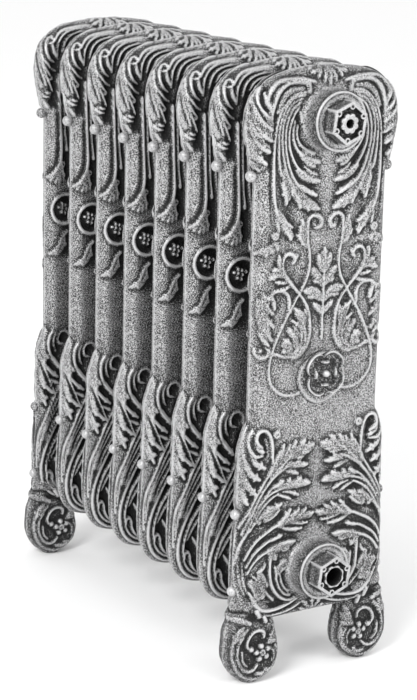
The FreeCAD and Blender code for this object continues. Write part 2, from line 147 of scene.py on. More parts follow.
class Relief:
    """Heights above the plain face, drawn stroke by stroke."""

    def __init__(self, width, bottom, top):
        self.y = np.arange(-OVERLAP, width, CELL)
        self.z = np.arange(bottom, top, CELL)
        self.ground = np.zeros((len(self.z), len(self.y)))
        self.height = self.ground.copy()
        self.cut = self.ground.copy()

    def stamps(self, points, widths, heights):
        """Yields each small window along a stroke with the distance from it, as a share of its width."""
        curve = smooth(points)
        wide, high = spread(widths, len(curve)), spread(heights, len(curve))
        for a, b, w, w2, h in zip(curve[:-1], curve[1:], wide[:-1], wide[1:], high):
            reach = max(w, w2, 0.4)
            low, tall = np.minimum(a, b) - reach, np.maximum(a, b) + reach
            y0, y1 = np.searchsorted(self.y, (low[0], tall[0]))
            z0, z1 = np.searchsorted(self.z, (low[1], tall[1]))
            if y1 <= y0 or z1 <= z0:
                continue
            yy, zz = self.y[y0:y1][None, :], self.z[z0:z1][:, None]
            along = b - a
            span = max(float(along @ along), 1e-9)
            t = np.clip(((yy - a[0]) * along[0] + (zz - a[1]) * along[1]) / span, 0, 1)
            away = np.hypot(yy - a[0] - t * along[0], zz - a[1] - t * along[1])
            yield (slice(z0, z1), slice(y0, y1)), away / np.maximum(w + (w2 - w) * t, 0.3), h

    def swell(self, points, widths, heights, sign, pick):
        for where, away, high in self.stamps(points, widths, heights):
            away = np.clip(away, 0, 1)
            self.ground[where] = pick(self.ground[where], sign * high * (1 - away) ** 2 * (1 + 2 * away))

    def hollow(self, points, widths, depths):
        """Lowers the ground along a broad soft stroke."""
        self.swell(points, widths, depths, -1, np.minimum)

    def mound(self, points, widths, heights):
        self.swell(points, widths, heights, 1, np.maximum)

    def settle_ground(self):
        self.ground = blur(self.ground, 1.5)
        self.height = self.ground.copy()

    def rib(self, points, widths=2.0, heights=2.0, flat=1.0):
        """A raised stroke; flat above 1 gives it a flatter top."""
        for where, away, high in self.stamps(points, widths, heights):
            rise = np.sqrt(np.clip(1 - np.clip(away, 0, 1) ** (2 * flat), 0, 1))
            base = np.minimum(self.ground[where], self.height[where])
            self.height[where] = np.maximum(self.height[where], base + (high - base) * rise)

    def ribs(self, text, widths, heights):
        for line in text.split(";"):
            self.rib(line, widths, heights)

    def groove(self, points, widths=1.0, depths=1.5):
        for where, away, depth in self.stamps(points, widths, depths):
            dip = depth * np.clip(1 - away ** 2, 0, 1)
            self.cut[where] = np.maximum(self.cut[where], dip)

    def settle_cuts(self):
        self.height -= self.cut
        self.cut[:] = 0

    def sink(self):
        """Takes the cuts made so far into the ground, so that later strokes start from their floor."""
        self.settle_cuts()
        self.ground = np.minimum(self.ground, self.height)

    def lobe(self, points, width, height=2.2, vein=True):
        """A leaf lobe from its root to its blunt, three-part tip, with a vein down the middle."""
        self.rib(points, [width * 0.5, width * 0.85, width, width * 0.85, width * 0.6],
                 [height * 0.7, height, height * 1.05])
        curve = smooth(points)
        shoulder, tip = curve[int(len(curve) * 0.68)], curve[-1]
        along = (tip - shoulder) / max(np.linalg.norm(tip - shoulder), 0.1)
        across = np.array([-along[1], along[0]])
        for side in (-1, 1):
            self.rib([shoulder, shoulder + side * across * width * 0.8 + along * width * 0.5],
                     [width * 0.5, width * 0.55], height * 0.85)
        if vein:
            end = curve[int(len(curve) * 0.72)]
            self.groove([tuple(curve[0]), tuple(curve[len(curve) // 2]), tuple(end)], [0.9, 0.8, 0.5], 1.0)

    def lobes(self, text, height, vein=True):
        for line, width in strokes(text):
            self.lobe(line, width, height, vein)

    def blades(self, text, height=1.3):
        """The thin flat leaf under a cluster of lobes."""
        for line, width in strokes(text):
            self.rib(line, [width * 0.5, width, width, width * 0.7], height, 3.0)

    def bead(self, y, z, radius, height):
        self.rib([(y, z), (y, z + 0.1)], radius, height)

    def ring(self, y, z, radius, width, height, start=0, end=360):
        turns = np.radians(np.linspace(start, end, 25))
        self.rib([(y + radius * math.cos(t), z + radius * math.sin(t)) for t in turns], width, height)

    def finish(self, web_share=0.4, base=0.6, deep=0.02):
        """Webs narrow gaps, cuts the grooves, works out where the iron is worn bright and paints shade on the
        low ground close to the ornament.
        """
        closed = spread_out(spread_out(self.height, WEB, np.maximum), WEB, np.minimum)
        web = self.ground + web_share * (blur(closed, 0.8) - self.ground)
        self.height = np.maximum(self.height, web)
        self.settle_cuts()
        self.height = blur(self.height, 0.5)
        near = self.height - blur(self.height, 2.2)
        far = self.height - blur(self.height, 9.0)
        crest, valley, between = 0.25, 0.44, 0.17
        rubbed_and_halo_shade = crest * np.maximum(near, 0) + valley * np.minimum(near, 0)
        # painted shade on the low ground close to raised ornament
        rubbed_and_halo_shade -= between * blur(np.maximum(self.height, 0), 6.0) * (1 - np.clip(self.height / 1.2, 0, 1))
        self.wear_and_painted_light = np.clip(base + rubbed_and_halo_shade + deep * np.minimum(far + np.minimum(self.height, 0), 0), 0, 1)
        return self

    def sample(self, field, y, z):
        """Reads a field between its cells."""
        u = np.clip((np.abs(y) - self.y[0]) / CELL, 0, len(self.y) - 1.001)
        v = np.clip((z - self.z[0]) / CELL, 0, len(self.z) - 1.001)
        i, j = v.astype(int), u.astype(int)
        s, t = v - i, u - j
        return ((field[i, j] * (1 - t) + field[i, j + 1] * t) * (1 - s)
                + (field[i + 1, j] * (1 - t) + field[i + 1, j + 1] * t) * s)


# ---------------- the leg section's face
def head_fronds(r):
    """The fronds that fall round the upper boss."""
    r.rib("22,757 40,761 58,762 72,760 81,754 87,746 89,737", "1.5 2.6 3 3 3 3 2", 2.4)
    r.rib("30,756 45,758 60,757 70,751 76,743 80,732 82,719", "2 3.4 4 4 4.5 4 0.8", 2.6)
    r.rib("36,757 31,752 30,746", "2.5 3.5 3.5", 2.4)
    r.blades("5: 38,750 54,749 66,740 74,724; 4: 86,738 84,722 82,708", 1)
    r.blades("""
        9: 50,638 36,617 17,605; 6.5: 44,652 30,643 16,638; 6: 42,674 28,664 16,661;
        7: 64,652 60,634 56,620; 6.5: 72,606 62,590 50,573""")
    r.ribs("""
        31,745 46,744.5 56,740 64,732 71,721 75,709 77,695 78,675 78,655 77.5,638 76,620 73,606 68,594;
        36,742 50,740 60,732 67,720 71,707 72.5,694 72,680 71,666 68.5,652 65,645;
        40,738 52,734 60,725 65.5,712 67.5,698 67,684 64.5,668 60,652 54,637 46,624 36,614 24,606 12,602;
        42,734 52,727 58.5,716 62,703 62.5,690 61,676 57,660 51,646 43,635 33,627 22,621 15,619;
        44,728 51,718 56,706 57.5,693 56,680 51,667 44,656 34,647 24,641 12,636;
        49,712 51.5,700 51,690 47,680 40,672 30,666 14,661;
        45,706 46.5,697 44,687 38,680 30,675 22,672""", "1.1 1.5 1.7 1.8 1.9 2 2 1.6", "2.4 2.8 2.8 2.6")
    r.rib("42,722 38,712 37,702", "2 4.5 3", 1.6)
    r.lobes("""
        4.2: 62,655 64,640 61,628 58,613; 2.6: 56,650 52,634 50,622; 3.6: 50,640 44,624 38,607;
        3: 40,626 33,614 26,602; 3.8: 38,622 26,611 11,603; 3.4: 40,636 27,626 15,620;
        3.8: 40,650 27,641 12,637; 2.6: 34,656 24,648 16,645; 3.6: 38,669 27,662 13,660;
        2.4: 34,662 26,657 19,655; 2.6: 40,680 32,673 20,671; 4: 70,606 64,592 50,569;
        2.6: 66,602 58,590 48,583; 2.2: 72,600 70,588 68,580""", 2.6)
    r.groove("82.5,692 82.5,660 82,630 80.5,602 78,586", "0.8 1.6 1.8 1.6 0.6", 1.8)
    r.groove("66,646 66,639", "1.6 1.2", 2.2)


def corner_leaf(r):
    """The acanthus leaf that wraps the head's corner."""
    r.blades("""
        8.5: 108,742 98,722 84,709; 9: 110,728 100,708 85,696; 9: 112,708 102,690 87,680;
        8: 114,684 106,670 94,660""", 1.2)
    r.rib("112,764 104,752 102,740 103,728", "3 4 4 3", "1 1.8 1.8 1.2")
    r.rib("97,756 101,748 101,738 97,729 90,721 82,716", "1.5 2.4 2.6 2.6 2.4 0.8", 2.6)
    r.groove("93,752 97.5,747 98,738 94.5,730 88,726", "1.2 2 2.2 2 1", 4.2)
    r.bead(93.5, 747.5, 2.4, 2.2)
    r.rib("92,743 90,737 86,731 82.5,722", "2.8 4.2 3.6 1", 2.4)
    for root, bend, tip, width in (
            ((108, 736), (98, 716), (82, 703), 4.9), ((110, 722), (102, 702), (82, 690), 5.3),
            ((112, 704), (103, 687), (84, 677), 5.3), ((112, 690), (104, 674), (89, 663), 4.8),
            ((112, 676), (108, 664), (97, 655), 3.8)):
        r.lobe([root, bend, tip], width, 2.8)
        r.rib([(root[0] + 4, root[1] + 2), root, bend], "1.5 1.6 1", 2.8)
    for line in ("113,738 108,716 99,699 89,689", "115,714 109,695 99,682 90,675",
                 "106,742 99,724 89,711"):
        r.groove(line, "0.5 1.1 1.1 0.5", 2.2)


def crown_leaf(r, vein=True):
    """The low leaves that hang over the middle of the top edge."""
    r.lobes("""
        3.6: 0,782 0,768 0,753; 3: 2,778 6,768 8,757; 3.4: 8,786 12,776 17,763; 2.8: 13,776 18,772 26,769;
        2.4: 14,784 22,780 29,774""", 1.8, vein)


def upper_vine(r):
    """The crossing stems, their leaves and scrolls."""
    stem = ("26,586 26,574 25,562 22.5,550 21.5,538 22.5,527 26,516 31,507 36,499 41,491 47,481 54,470 "
            "61,457 68,442 73,429 76,417 76.5,405 74.5,394 69,385 61,378 50,373.5 38,373 31,375")
    r.rib(stem, "1.5 1.6 1.6 1.5 1.5 1.6 2", 2.2)
    r.rib("26,584 25,591 19,595.5 11,594 6,588 8,581.5 13,580.5", "1.8 2.2 2.6 3.2 3.2 3 2.4", 2.4)
    r.groove("21,588 20,583 18,577", "2.2 2.4 1", 1.2)
    r.lobes("""
        3: 26,570 31,580 35,591; 2.8: 27,566 35,574 37,583; 3: 25,560 33,565 40,573;
        2.2: 24,556 30,560 35,564""", 2)
    branch = ("66,541 61,531 56,523 49,514 41,506 35.5,500 29,492 23.5,483 20,473 18.5,461 18.5,449 "
              "21,438 26,429 34,422 42,420")
    r.rib(branch, "2.6 2.4 1.8 1.6 2 2.6 3.4 2.2", 2.2)
    r.rib("36,501 47,513 57,524 64,537 66,546", "1.6 2.6 3.6 3.6 2", 2)
    r.blades("5: 56,522 63,533 66,543; 5: 56,523 67,528 76,527")
    r.lobes("""
        3.2: 61,531 66,541 66,549; 3.8: 57,524 68,526 79,523; 2.8: 60,530 68,533 75,533;
        2.6: 52,516 60,516 70,518; 2.6: 48,511 57,508 63,508""", 2.5)
    r.rib("60,533 60,543 57,549 51,551 45,548 42.5,542.5 46,538.5", "0.8 1.5 2.1 2.6 3 2.6 1.4", 2.2)
    r.lobe("46,541 42,544 39,549", 2, 1.8)


def middle_leaf(r):
    """The upright leaf on the middle line."""
    r.blades("""
        6.5: 0,488 13,500 25,502; 6.5: 0,508 8,518 15,527; 6: 0,524 5,535 8,543; 5.5: 0,530 0,546;
        4.5: 0,472 6,479 12,484""", 1.5)
    r.rib("0,440 0,500 0,545", "1.4 1.8 1.4", 2.4)
    r.lobe("0,530 0,542 0,553", 4.2, 2.4)
    r.lobes("""
        3.6: 1,528 6,536 9,545; 4.2: 1,512 8,518 17,529; 2.6: 2,508 9,512 15,514;
        4.4: 2,494 13,500 28,503; 2.8: 2,491 12,494 22,494; 3.2: 1,474 7,479 14,486""", 2.2)


def side_scrolls(r):
    """The scroll and hanging leaf beside the vine, and the acanthus inside it."""
    r.rib("79,492 78,500 72,505.5 62,506 53,501 49.5,492 50,483 47,478",
          "1.5 2 2.2 2.2 2.2 2.4 2.6 1.6", 2.3)
    r.rib("75,499 72.5,492 71,485", "2 4.4 3", 2.4)
    r.groove("77.5,496 77,489 73.5,483", "1 1.4 1", 1.6)
    r.blades("""
        9: 92,494 86,474 82,456; 5: 26,452 30,464 38,476; 6: 36,430 40,446 48,456; 5: 44,424 50,434 56,440""")
    r.lobes("""
        4.4: 90,498 84,490 73,479; 4.2: 92,486 84,474 72,463; 4.4: 92,474 85,460 74,446;
        3.4: 92,462 87,450 78,440; 2.6: 88,505 84,500 80,498""", 2.1)
    r.rib("97,436 95,429 88,425.5 80,427 77,433 82,437", "2 3 3.2 2.8 2 1.2", 2)
    r.bead(89, 433.5, 2.6, 1.8)
    r.lobes("""
        3.8: 25,462 31,472 41,482; 2.4: 23,466 25,474 26,479; 2.4: 24,464 29,473 33,478;
        3: 27,444 33,458 44,467; 2.2: 29,440 36,452 42,460; 3.8: 37,432 40,445 48,456;
        3.8: 44,428 47,438 54,444; 2.6: 46,426 50,430 57,430""", 2.3)
    r.ribs("""
        30,466 26,456 24.5,445 27,434 34,426 42,422;
        34,460 30.5,450 30,440 33,432 41,425;
        43,452 39,444 37,434 41,427""", "1 1.5 1.6 1.6 1", 2.4)
    r.rib("74,427 66,427.5 59,424 50,422.5 42,421", "1.2 1.6 1.8 1.8 1.6", 2.1)
    for y, z in ((73, 574.5), (61.5, 325)):
        r.ring(y, z, 3.7, 1.3, 3)
        r.bead(y, z, 1.4, 2.6)
    r.lobes("""
        3.2: 70,566 80,562 90,557 100,553; 3.2: 74,567 70,562 69,558; 3.2: 80,564 79,559 76,556;
        3.2: 90,560 87,555 84,553""", 1.8, vein=False)


def base_fronds(r):
    """The scrolls and fronds of the base."""
    r.rib("66.5,289 67,305 69,319 74,328.5 81,332.5 88,330 91,322 87,314.5 80,311",
          "1.6 2 2.2 2.2 2.2 2.6 3 3 1.6", 2.6)
    r.groove("80,325 80,317 77,308 76,298", "3.6 4.4 3 1.5", 3.4)
    r.rib("96,333 101,322 99.5,310 92,301 80,300", "1.6 2.2 2.4 3.2 1", 2.6)
    r.rib("105,336 109,322 108,305 104,292", "1.6 2.4 2.4 1.5", 2.2)
    r.lobes("""
        3: 93,318 88,309 77,304; 5: 98,304 91,292 78,284; 5: 104,292 98,279 85,270;
        5: 107,276 100,262 89,250; 3.6: 110,262 107,250 101,240""", 2.5)
    r.blades("""
        9: 68,272 52,292 36,305; 8: 42,292 26,299 10,303; 5.5: 52,284 36,283 18,280;
        7: 56,256 36,257 14,256; 7: 84,214 70,224 58,230; 8: 54,206 34,213 8,213;
        6.5: 70,174 52,177 34,180""")
    r.ribs("""
        112,208 104,222 96,237 88,251 78,265 70,277 63,289;
        108,200 102,214 94,230 85,246 75,260 63,273 50,286 36,297 9,304;
        104,196 98,212 90,228 81,241 71,252 62,259;
        84,237 72,247 60,252 46,255 30,257 11,255;
        97,205 90,219 81,232 70,241 56,248;
        78,256 66,268 54,277 42,283 30,285 15,280;
        117,160 112,180 105,196 96,208 88,216 80,226;
        104,168 96,181 86,191 74,198 60,205 44,210 26,213 4,215;
        102,158 92,172 80,181 66,188 50,192;
        100,150 90,163 78,171 64,176""", "2.1 2.1 2.1 2 1.9 1.7 1.4", 2.7)
    r.lobes("""
        3.4: 72,272 66,284 62,294; 3.4: 64,276 60,292 57,302; 3.8: 58,282 54,296 51,310;
        3: 52,288 46,300 42,309; 3.8: 46,292 38,303 33,312; 4.2: 36,297 26,305 20,312;
        4.6: 32,297 20,302 7,305; 3: 34,294 22,296 13,296; 2.2: 38,290 28,291 20,291;
        2.6: 42,282 30,285 24,289; 3.6: 42,280 28,281 14,280; 2.6: 48,276 38,274 28,270;
        3.2: 66,256 56,260 50,264; 3.2: 52,254 44,259 40,265; 3.4: 40,256 30,260 23,264;
        4: 34,256 22,257 10,255; 3: 50,249 38,247 27,242; 2.4: 58,246 46,242 38,238;
        4.2: 84,220 74,228 66,232; 4.4: 76,219 64,228 52,234; 2.6: 74,213 64,218 54,226;
        4: 58,205 46,214 38,224; 3.4: 46,210 34,216 25,223; 3: 34,212 22,217 14,222;
        3.8: 30,212 16,213 3,215; 2.8: 40,207 24,204 11,203; 3.2: 52,203 36,198 20,197;
        3: 64,186 56,190 49,192; 4.4: 70,172 62,168 58,162; 3.4: 66,174 58,175 53,176;
        3: 62,175 46,181 29,181; 2: 56,176 46,172 38,173""", 2.6)
    r.groove("79,216 79,209", "3 2.2", 2)


def lower_scroll(r):
    """The scroll that runs round the lower boss, and the bottom border."""
    r.rib("66,165 66,148 64,132 57,118 47,108 36,104 27,106", "3 2.8 2.8 2.8 2.6 2.4 1.2", 3)
    r.rib("58,152 56,137 51,123 43,113 34,110", "1.4 1.8 1.9 1.8 1.2", 2.6)
    r.rib("50,140 47,128 42,120 37,116", "1.4 1.8 1.8 1.2", 2.2)
    r.blades("5.5: 56,142 50,150 42,155; 8: 94,138 84,128 76,116; 6: 82,148 76,138 70,130")
    r.lobes("""
        3.2: 56,148 50,154 44,158; 3.4: 54,138 48,146 41,150; 3.2: 80,150 76,142 70,131;
        3.6: 90,144 82,136 76,124; 4: 98,136 90,127 84,112; 2.8: 72,160 76,152 82,150""", 2.4)
    r.ribs("""
        84,144 76,130 68,117 58,106;
        92,134 86,120 80,110""", "1 1.4 1.4 1", 2)
    r.rib("96,124 90,113 84,104 76,97 64,94.5 50,95.5 36,99 24,104", "2 3 3.4 3 2.6 2.6 2.4 1.2", 2.9)
    r.groove("76,106 70,102 60,101", "2.4 2.6 1.4", 2.6)
    r.rib("78,90 62,87.5 45,88 28,92 18,97", "1 1.6 1.8 1.8 1", 2)
    r.lobes("3.4: 0,84 0,92 0,99; 3.4: 2,84 8,92 13,97; 2.6: 4,83 12,86 18,88", 2.4)
    r.ribs("""
        117,200 119,175 118,150 114,128 106,112;
        112,178 112,156 109,138 103,122;
        107,164 106,148 103,134 97,122""", "1.2 1.7 1.7 1.2", 1.5)


def leg_relief():
    r = Relief(*FACE_AREA)
    for line, width, depth in (
            ("58,752 74,728 80,700 80,670", 22, 3.2),
            ("48,712 54,690 44,660 30,630 24,612", 26, 3.2), ("60,640 52,600 48,572", 18, 2.6),
            ("96,750 96,730 92,706 92,680 98,664", 14, 3.4), ("-4,764 12,764 28,768", 14, 1.6),
            ("40,540 34,500 38,460 44,440", 22, 1.6), ("54,552 66,540 66,522 54,508", 15, 1.6),
            ("6,540 8,500 6,470", 18, 1.8), ("66,492 80,470 84,440", 16, 1.6),
            ("80,322 84,300 90,270 98,246", 20, 3.4), ("56,292 30,292 16,280 16,256", 22, 3),
            ("70,262 60,246 40,250", 24, 3.2), ("100,200 84,214 60,214 34,210 10,208", 24, 3.2),
            ("104,160 84,180 60,188 36,184", 22, 3.2),
            ("96,130 76,140 60,150 52,124 70,108 40,98", 22, 3.6), ("0,90 30,90 60,88", 12, 3)):
        r.hollow(line, width, depth)
    r.mound("112,752 117,720 115,690 108,664", "14 17 16 12", 2.2)
    r.mound("112,330 116,300 115,270 113,240", "12 15 14 11", 2)
    r.settle_ground()
    head_fronds(r)
    corner_leaf(r)
    crown_leaf(r)
    upper_vine(r)
    middle_leaf(r)
    side_scrolls(r)
    base_fronds(r)
    lower_scroll(r)
    return r.finish()


# ---------------- the middle sections' face
def middle_head(r):
    """The leaf that curls over a middle section's corner and hangs down to a pearl."""
    for line, widths in (
            ("26,768 50,766 70,763 81,757 87,747", "0.6 2 2.2 2.2 1.2"),
            ("28,764 50,763 67,759.5 77,752 82,740 82,722", "0.6 1.8 2 2.1 1.9 0.8"),
            ("32,759.5 50,758 62,754 70,746 74,732", "0.6 1.7 1.8 1.7 0.8"),
            ("36,754 48,753 58,748 64,738", "0.6 1.5 1.5 0.8")):
        r.rib(line, widths, "0.2 2 2.8 2.8 2.8")
    for line, widths in (
            ("107,745 107,732 104,723 99,717 91,709 84,705", "1.4 1.7 1.6 1.5 1.4 0.7"),
            ("108,727 103,714 97,704 89,696", "1.2 1.4 1.4 0.8"),
            ("109.5,737 109,723 104,709 99,697 93,686 89,678", "1.4 1.7 1.6 1.5 1.4 0.8"),
            ("112,735 111,721 108,709 103,695 100,686", "1.4 1.8 1.8 1.7 1.2"),
            ("116,716 114,704 111,694 107,685", "2.6 3.4 3.6 3.2"),
            ("115,686 110,677 102,671 93,669", "1.6 1.8 1.6 0.8"),
            ("115,680 108,668 102,661 97,656", "2.4 3 3.2 2.2"),
            ("117,676 112,665 107,659", "2.4 3.2 3"),
            ("97,694 93,695 90,694", "0.8 1.6 0.8"), ("101,678 96,675 91,675", "0.8 1.4 0.7"),
            ("112,655 107,651 103,648", "3 2.8 1.6")):
        r.rib(line, widths, 2.8)
    r.rib("86,717 94,723 99,732 100.5,742 98,750.5 92,753.5 88,749.5 89.5,745 93.5,745",
          "0.7 1.4 1.7 1.9 1.9 1.8 1.6 1.4 1", 2.2)
    r.groove("94.5,749 93.5,748.5", 1.7, 3.2)
    r.groove("96,741 95,732 88,723", "1.4 2.2 1", 4)
    r.rib("90,741 88,734 84,726", "2 3.4 1.4", 1.4)
    r.groove("114.5,738 114,720 110.5,704", "0.5 1.1 0.5", 1.6)
    r.groove("107,716 103.5,705 98,692", "0.5 0.9 0.4", 1.6)


def middle_stem(r):
    """The stem that falls down the panel and flares into a small fan, with a second thinner one beside it."""
    r.rib("80,700 79,670 78,640 76.5,610 76,592 79,577 87,565 98,556.5",
          "1.6 2.2 2.2 2 2.2 2.8 3.2 1.8", 2.8)
    r.rib("72,700 72,660 70,620 68,602 67,594", "1.4 1.8 1.8 1.8 2.6", 2.4)
    r.rib("64,700 64,660 62,620 58,590", 1.6, 2.2)
    for tip, width in (((92, 554), 2.6), ((85, 552), 2.6), ((79, 552), 2.4), ((73, 554), 2.2)):
        r.rib([(77, 582), ((77 + tip[0]) / 2 - 1, 566), tip], [1.4, 2, width], 2.6)
    r.ring(73, 575, 2.8, 1.2, 2.6, 20, 320)
    r.ring(72, 560, 2.2, 1.1, 2.4, 120, 400)


def medallion(r):
    """A ring round a sunk disc with a cluster of beads, and the curled leaf under it."""
    y, z = MEDALLION_Y, MEDALLION_Z
    for radius in np.arange(1, 18, 1.5):
        turns = np.radians(np.linspace(0, 360, 40))
        r.groove([(y + radius * math.cos(t), z + radius * math.sin(t)) for t in turns], 2.2, 5)
    r.sink()
    r.ring(y, z, 20.5, 2.8, 3)
    for across, up in ((9.5, 3), (4, 7), (3.6, 1.5), (-1.8, 4.8), (-3, -1), (4.5, -4.4), (-1.5, -6.6),
                       (-8.5, 2)):
        r.bead(y + across, z + up, 2.7, 1)
    r.rib("67,479 72,475 76,467 79,459 85,452.5 95,448", "3 3.6 4 4.4 4 1.2", 3)
    r.rib("71,471 71,463 76,454 84,447", "2 3.2 3.2 1.6", 2.6)
    r.groove("71,476 75.5,465 81,455.5 91,449.5", "0.5 1.2 1.2 0.5", 1.8)
    r.groove("68,470 71,460 77,452", "0.5 1 0.5", 1.6)
    r.ring(70.5, 461, 2.4, 1.1, 2.6)


def middle_base(r):
    """The scroll, the hanging leaf and the long flutes of a middle section's base."""
    for line, widths, height in (
            ("61,318 62,329 69,335 77,333 80,325 77,317 71,315", "1.2 1.6 1.8 1.9 1.9 1.8 1.2", 2.6),
            ("83,333 87,325 86,315 81,304", "1 1.5 1.5 0.7", 2.4),
            ("89,336 94,327 95,315 92,303 85,291 75,280", "1.2 2.6 3 3.4 3.4 1.8", 2.8),
            ("106,293 98,275 91,260 84,245", "1 1.4 1.4 1", 3),
            ("113,134 113,160 109,186 98,213 87,236 76,256 66,271", "0.8 1.8 2.2 2.2 2 1.8 1.6", 2.8),
            ("110,146 108,168 102,192 92,214 81,234 70,251 60,264", "0.8 1.6 2 2.2 2 1.8 1.6", 2.8),
            ("104,176 97,195 88,211 78,226 66,243", "0.8 1.7 1.8 1.6 1.4", 2.4),
            ("99,176 93,189 84,204 74,219 62,234", "0.8 1.6 1.7 1.6 1.4", 2.4),
            ("76,206 84,194 93,178 101,160 105.5,142 106,126 103,111 96,99 84,90.5 68,86",
             "1.6 2.4 2.8 2.8 2.6 2.6 2.4 2.4 2.2 1.4", 2.8),
            ("70,190 79,179 88,166 95,150 98.5,134 98,119 92,106 82,97 70,92",
             "1.4 1.8 2 2 2 2 1.9 1.7 1", 2.6),
            ("68,178 77,168 86,155 92,142", "1.3 1.7 1.6 0.8", 2.2),
            ("97,119 96,125.5 91.5,127.5 88.5,122 87,113 82,103 75,96", "2.2 2.6 2.6 2.4 2.2 1.8 1", 2.8),
            ("84,146 80,139 75,130", "1 2.4 1", 1)):
        r.rib(line, widths, height)
    r.rib("106,334 109,322 108,308 105,298", "9 10 9 6", 2.4, 3)
    r.lobes("""
        4: 108,308 104,300 101,289; 3.4: 105,311 101,304 95,297; 3.4: 88,300 82,289 74,279;
        3.6: 101,288 91,277 80,268; 2.6: 92,266 86,262 79,258; 3.6: 101,259 93,250 84,244;
        4.8: 110,284 106,269 101,254; 5.2: 112,258 106,243 99,229; 3: 110,250 103,242 95,238""", 2.8)
    r.groove("92,322 92.5,312 89.5,301 84,292", "0.5 1.1 1.1 0.5", 2)


def middle_relief():
    r = Relief(*FACE_AREA)
    for line, width, depth in (
            ("38,752 66,750 80,738 86,716 86,690 88,666", "11 16 17 17 17 17", "3 6 6.5"),
            ("60,735 70,700 72,670", 22, 6), ("82.5,645 81.5,600 85.5,577 96,565", 5, 1.4),
            ("70,660 68,600 66,560", 12, 4.5), ("56,520 60,480 66,455", 20, 2.4),
            ("76,322 84,302 88,276 88,250 96,236", 18, 6.5),
            ("60,300 66,260 72,230 84,200", 25, 6),
            ("70,190 84,166 90,142 86,115 70,98", 20, 7), ("-4,764 12,764 28,768", 14, 1.6)):
        r.hollow(line, width, depth)
    r.mound("70,776 96,768 112,752 119,730 120,704 115,682 108,662 104,652", "8 10 12 14 14 13 11 8", 2.6)
    r.mound("112,330 116,300 117,270 115,240 114,226", "14 13 12 11 8", 2.4)
    r.settle_ground()
    middle_head(r)
    middle_stem(r)
    medallion(r)
    middle_base(r)
    crown_leaf(r, vein=False)
    return r.finish(0.22, 0.605, 0.07)


def foot_relief():
    r = Relief(*FOOT_AREA)
    r.hollow("84,40 84,52", 40, 3.6)
    r.hollow("90,92 70,86", 16, 4)
    r.settle_ground()
    r.rib("72,60 72,67 79,71 88,69.5 95,62 97,54 93,47", "1.4 2.2 2.4 2.2 2.2 2.2 1.2", 2.2)
    for line, widths in (("110,58 112,42 107,28 98,19.5 88,19 80,25", "2 2.6 2.6 2.6 2.4 1.2"),
                         ("104,46 103,34 96,25.5", "1.2 1.6 1"),
                         ("54,48 49,38 50,28 56,20", "2 2.6 2.4 1.4"),
                         ("62,46 56,36 58,27", "1 1.5 1"),
                         ("118,62 119,42 113,24 102,11 84,5 66,9 53,20 46,36 49,54",
                          "2 3 3 3 3 3 3 3 2")):
        r.rib(line, widths, 2)
    r.ring(74, 40.5, 3.4, 1.3, 3.2)
    r.bead(74, 40.5, 1.8, 3.4)
    for turn in (80, 152, 224, 296, 368):
        a = math.radians(turn)
        r.bead(74 + 8.6 * math.cos(a), 40.5 + 8.6 * math.sin(a), 4.4, 3)
    r.bead(90, 47, 4, 3)
    r.lobes("""
        4.4: 64,56 56,60 48,66; 3.4: 66,52 58,54 48,56; 4: 62,62 56,68 52,76; 3.4: 70,18 60,15 50,22;
        3.4: 84,14 74,12 64,13; 5: 104,78 110,72 116,62; 3.6: 96,76 104,70 108,60""", 2.6)
    r.rib("130,93 116,91 104,88 96,84", "3.6 4.4 4 3", 1.9, 1.6)
    r.bead(94, 83, 3.4, 2)
    r.groove("122,103 108,101 97,97", "3 4 2", 1.8)
    r.rib("84,97 80,90", "4.2 4.2", 2.4)
    r.rib("73,88 70,82", "3.8 3.6", 2.4)
    return r.finish(base=0.52, deep=0.04)


# ---------------- meshes
BODY = ("0,773.5 20,773.2 38,772 54,769.5 68,766 79,761.5 88,755.5 95,748 100.5,739.5 104,729.5 106,719 "
        "106.8,708 106,696 104,685 101.5,674 99,662 96,652 93.8,644 93.5,634 93.5,600 93.5,500 93.5,400 "
        "93.5,346 94.5,336 98,326 102,314 104.5,302 105.3,270 106.2,230 108,195 110,165 110.7,145 "
        "110.5,128 108,113 103.5,101 97,92.5 88,85.5 76,81 62,79.6 40,79.5 20,79.5 0,79.5")
FOOT = ("100,118 108.5,116 111,108 112.5,98 115,86 118.5,74 120,64 120.6,54 121.4,43 121,33 118,24 "
        "112.5,15.5 104,7.5 94,2.2 83.8,0 73,1.6 63,6.4 54.5,13.5 48.8,22.5 46,34 46.4,46 49,58 52,68 "
        "53,78 54,90 64,104 80,114 90,118 100,118")


def resample(loop, spacing):
    """Evenly spaced points round a closed line; spacing may depend on the place."""
    closed = np.vstack([loop, loop[:1]])
    steps = np.linalg.norm(np.diff(closed, axis=0), axis=1)
    middle = (closed[1:] + closed[:-1]) / 2
    gaps = np.array([spacing(y, z) for y, z in middle])
    travel = np.concatenate([[0], np.cumsum(steps / gaps)])
    count = int(round(travel[-1]))
    wanted = np.linspace(0, travel[-1], count, endpoint=False)
    return np.stack([np.interp(wanted, travel, closed[:, k]) for k in (0, 1)], axis=1)


